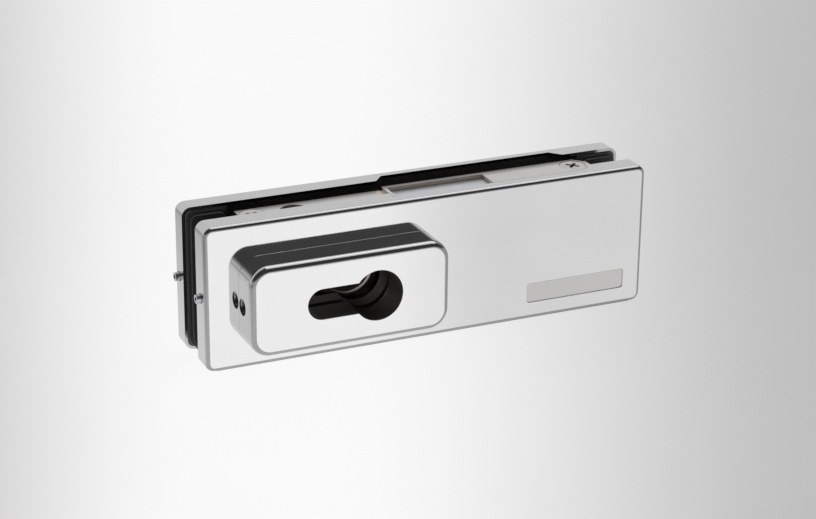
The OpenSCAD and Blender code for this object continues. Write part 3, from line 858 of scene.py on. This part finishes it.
def add_panel_light(name, place, target, width, height, power):
    """A flat soft light that points at a target."""
    light = bpy.data.lights.new(name, "AREA")
    light.shape = "RECTANGLE"
    light.size, light.size_y = width, height
    light.energy = power
    lamp = bpy.data.objects.new(name, light)
    bpy.context.scene.collection.objects.link(lamp)
    lamp.location = place
    lamp.rotation_mode = "QUATERNION"
    lamp.rotation_quaternion = (Vector(target) - Vector(place)).to_track_quat("-Z", "Y")


def studio_walls():
    """The surroundings: pale behind and low in front, dark in front above that."""
    world = bpy.data.worlds.new("Studio walls")
    world.use_nodes = True
    tree = world.node_tree
    way = add_node(tree, "ShaderNodeTexCoord").outputs["Generated"]
    parts = add_node(tree, "ShaderNodeSeparateXYZ", {"Vector": way}).outputs
    front = ranged(tree, parts["Z"], start=0.02, end=0.27, first=0.8, last=0.075)
    behind = ranged(tree, parts["Y"], start=-0.1, end=0.25, first=0.0, last=1.0)
    level = mixed(tree, behind, front, 0.84)
    background = tree.nodes["Background"]
    background.inputs["Color"].default_value = (1, 1, 1, 1)
    tree.links.new(level, background.inputs["Strength"])
    return world


def add_camera():
    """The camera, at the photograph's viewing angle."""
    azimuth, elevation, roll = math.radians(-24.47), math.radians(21.56), math.radians(0.57)
    distance, aim = 0.7813, Vector((-0.0025, 0, 0.0229))
    focal_pixels, image_width = 2287.3, 816
    back = Vector(
        (
            math.sin(azimuth) * math.cos(elevation),
            -math.cos(azimuth) * math.cos(elevation),
            math.sin(elevation),
        )
    )
    data = bpy.data.cameras.new("Camera")
    data.sensor_width = 36
    data.lens = data.sensor_width * focal_pixels / image_width
    data.clip_start, data.clip_end = 0.01, 50
    camera = bpy.data.objects.new("Camera", data)
    bpy.context.scene.collection.objects.link(camera)
    camera.location = aim + back * distance
    camera.rotation_mode = "QUATERNION"
    camera.rotation_quaternion = (-back).to_track_quat("-Z", "Y") @ Quaternion((0, 0, 1), roll)
    bpy.context.scene.camera = camera


class LOCK_OT_covers(bpy.types.Operator):
    """Models both polished covers"""

    bl_idname = "lock.covers"
    bl_label = "Covers"

    def execute(self, context):
        sizes = context.scene.lock_sizes
        steel = cover_steel(sizes, context.scene.lock_colours)
        for word in SIDES:
            finish_piece(model_cover(sizes, word), steel, "polished_steel", word + "_cover")
        return {"FINISHED"}


class LOCK_OT_roses(bpy.types.Operator):
    """Models the caps of both roses"""

    bl_idname = "lock.roses"
    bl_label = "Roses"

    def execute(self, context):
        sizes = context.scene.lock_sizes
        aluminium = rose_aluminium(sizes, context.scene.lock_colours)
        for word in SIDES:
            cap = model_rose_cap(sizes, word)
            finish_piece(cap, aluminium, "polished_aluminium", word + "_rose_cap")
        return {"FINISHED"}


class LOCK_OT_pads(bpy.types.Operator):
    """Models the four rubber pads that hold the glass"""

    bl_idname = "lock.pads"
    bl_label = "Rubber pads"

    def execute(self, context):
        rubber = moulded_rubber(context.scene.lock_colours.rubber)
        for word in SIDES:
            for end in ("left", "right"):
                name = word + "_" + end + "_pad"
                pad = model_pad(context.scene.lock_sizes, name)
                finish_piece(pad, rubber, "black_rubber", name)
        return {"FINISHED"}


class LOCK_OT_finishes(bpy.types.Operator):
    """Gives the clamps, the case, the bolt and the screws their finishes"""

    bl_idname = "lock.finishes"
    bl_label = "Finishes"

    def execute(self, context):
        sizes, colours = context.scene.lock_sizes, context.scene.lock_colours
        casting = bare_casting(sizes, colours)
        finish_nodes(casting, "front_clamp", "front_rose_plate", "rear_rose_plate")
        finish_nodes(coated_casting(colours), "rear_clamp")
        finish_nodes(case_nickel(sizes, colours), "lock_case", "case_lid")
        # Drawn steel: lines up and down the bolt, and a cool satin sheen
        bolt = plated_metal(
            "Drawn bolt steel", colours.bolt, roughness=0.36, lines=0.4 * MM, direction=Z
        )
        finish_nodes(bolt, "bolt", "stop_pin", "spring_pin")
        # Blued steel: dark blue-grey, with rolled lines from the front to the rear
        spring = plated_metal(
            "Blued spring steel", colours.spring, roughness=0.3, lines=0.4 * MM, direction=Y
        )
        finish_nodes(spring, "detent_spring")
        # Nickel is bright and a little warm, zinc bright and cool, and black oxide nearly black
        nickel = turned_metal("Nickel-plated screw steel", colours.nickel, roughness=0.25)
        finish_nodes(nickel, "case_screws", "cylinder_screw")
        zinc = turned_metal("Zinc-plated screw steel", colours.zinc, roughness=0.25)
        finish_nodes(zinc, "lid_screws", "clamp_screws", "cover_screws", "rose_plate_screws")
        oxide = turned_metal("Black-oxide screw steel", colours.oxide, roughness=0.35)
        finish_nodes(oxide, "rose_set_screws")
        return {"FINISHED"}


class LOCK_OT_stage(bpy.types.Operator):
    """Adds the glowing table and the glowing card, both painted light, the soft light, the surroundings
    and the camera
    """

    bl_idname = "lock.stage"
    bl_label = "Stage"

    def execute(self, context):
        scene = context.scene
        glow = scene.lock_colours.floor
        add_sheet("floor", (0, 0, 0), (6, 6), painted_glow_table(glow))
        add_card(glow)
        add_panel_light(
            "Top light",
            place=(0.38, -0.08, 0.85),
            target=(0.38, -0.08, 0),
            width=0.8,
            height=0.56,
            power=2.0,
        )
        scene.world = studio_walls()
        scene.view_settings.view_transform = "Standard"
        add_camera()
        return {"FINISHED"}


class LOCK_PT_panel(bpy.types.Panel):
    """Lists the steps that build the lock"""

    bl_label = "Door Lock"
    bl_idname = "LOCK_PT_panel"
    bl_space_type = "VIEW_3D"
    bl_region_type = "UI"
    bl_category = "Door Lock"

    def draw(self, context):
        column = self.layout.column()
        for step in STEPS:
            column.operator(step.bl_idname)
        for group in (context.scene.lock_sizes, context.scene.lock_colours):
            for key in group.__annotations__:
                column.prop(group, key)


STEPS = (LOCK_OT_covers, LOCK_OT_roses, LOCK_OT_pads, LOCK_OT_finishes, LOCK_OT_stage)
CLASSES = (LockSizes, LockColours, *STEPS, LOCK_PT_panel)


def register():
    """Makes the classes known and hangs the settings on the scene."""
    for cls in CLASSES:
        bpy.utils.register_class(cls)
    bpy.types.Scene.lock_sizes = bpy.props.PointerProperty(type=LockSizes)
    bpy.types.Scene.lock_colours = bpy.props.PointerProperty(type=LockColours)


def unregister():
    """Takes the settings and the classes away again."""
    del bpy.types.Scene.lock_colours
    del bpy.types.Scene.lock_sizes
    for cls in reversed(CLASSES):
        bpy.utils.unregister_class(cls)


def main():
    """Builds everything in order."""
    register()
    bpy.ops.lock.covers()
    bpy.ops.lock.roses()
    bpy.ops.lock.pads()
    bpy.ops.lock.finishes()
    bpy.ops.lock.stage()


if __name__ == "__main__":
    main()
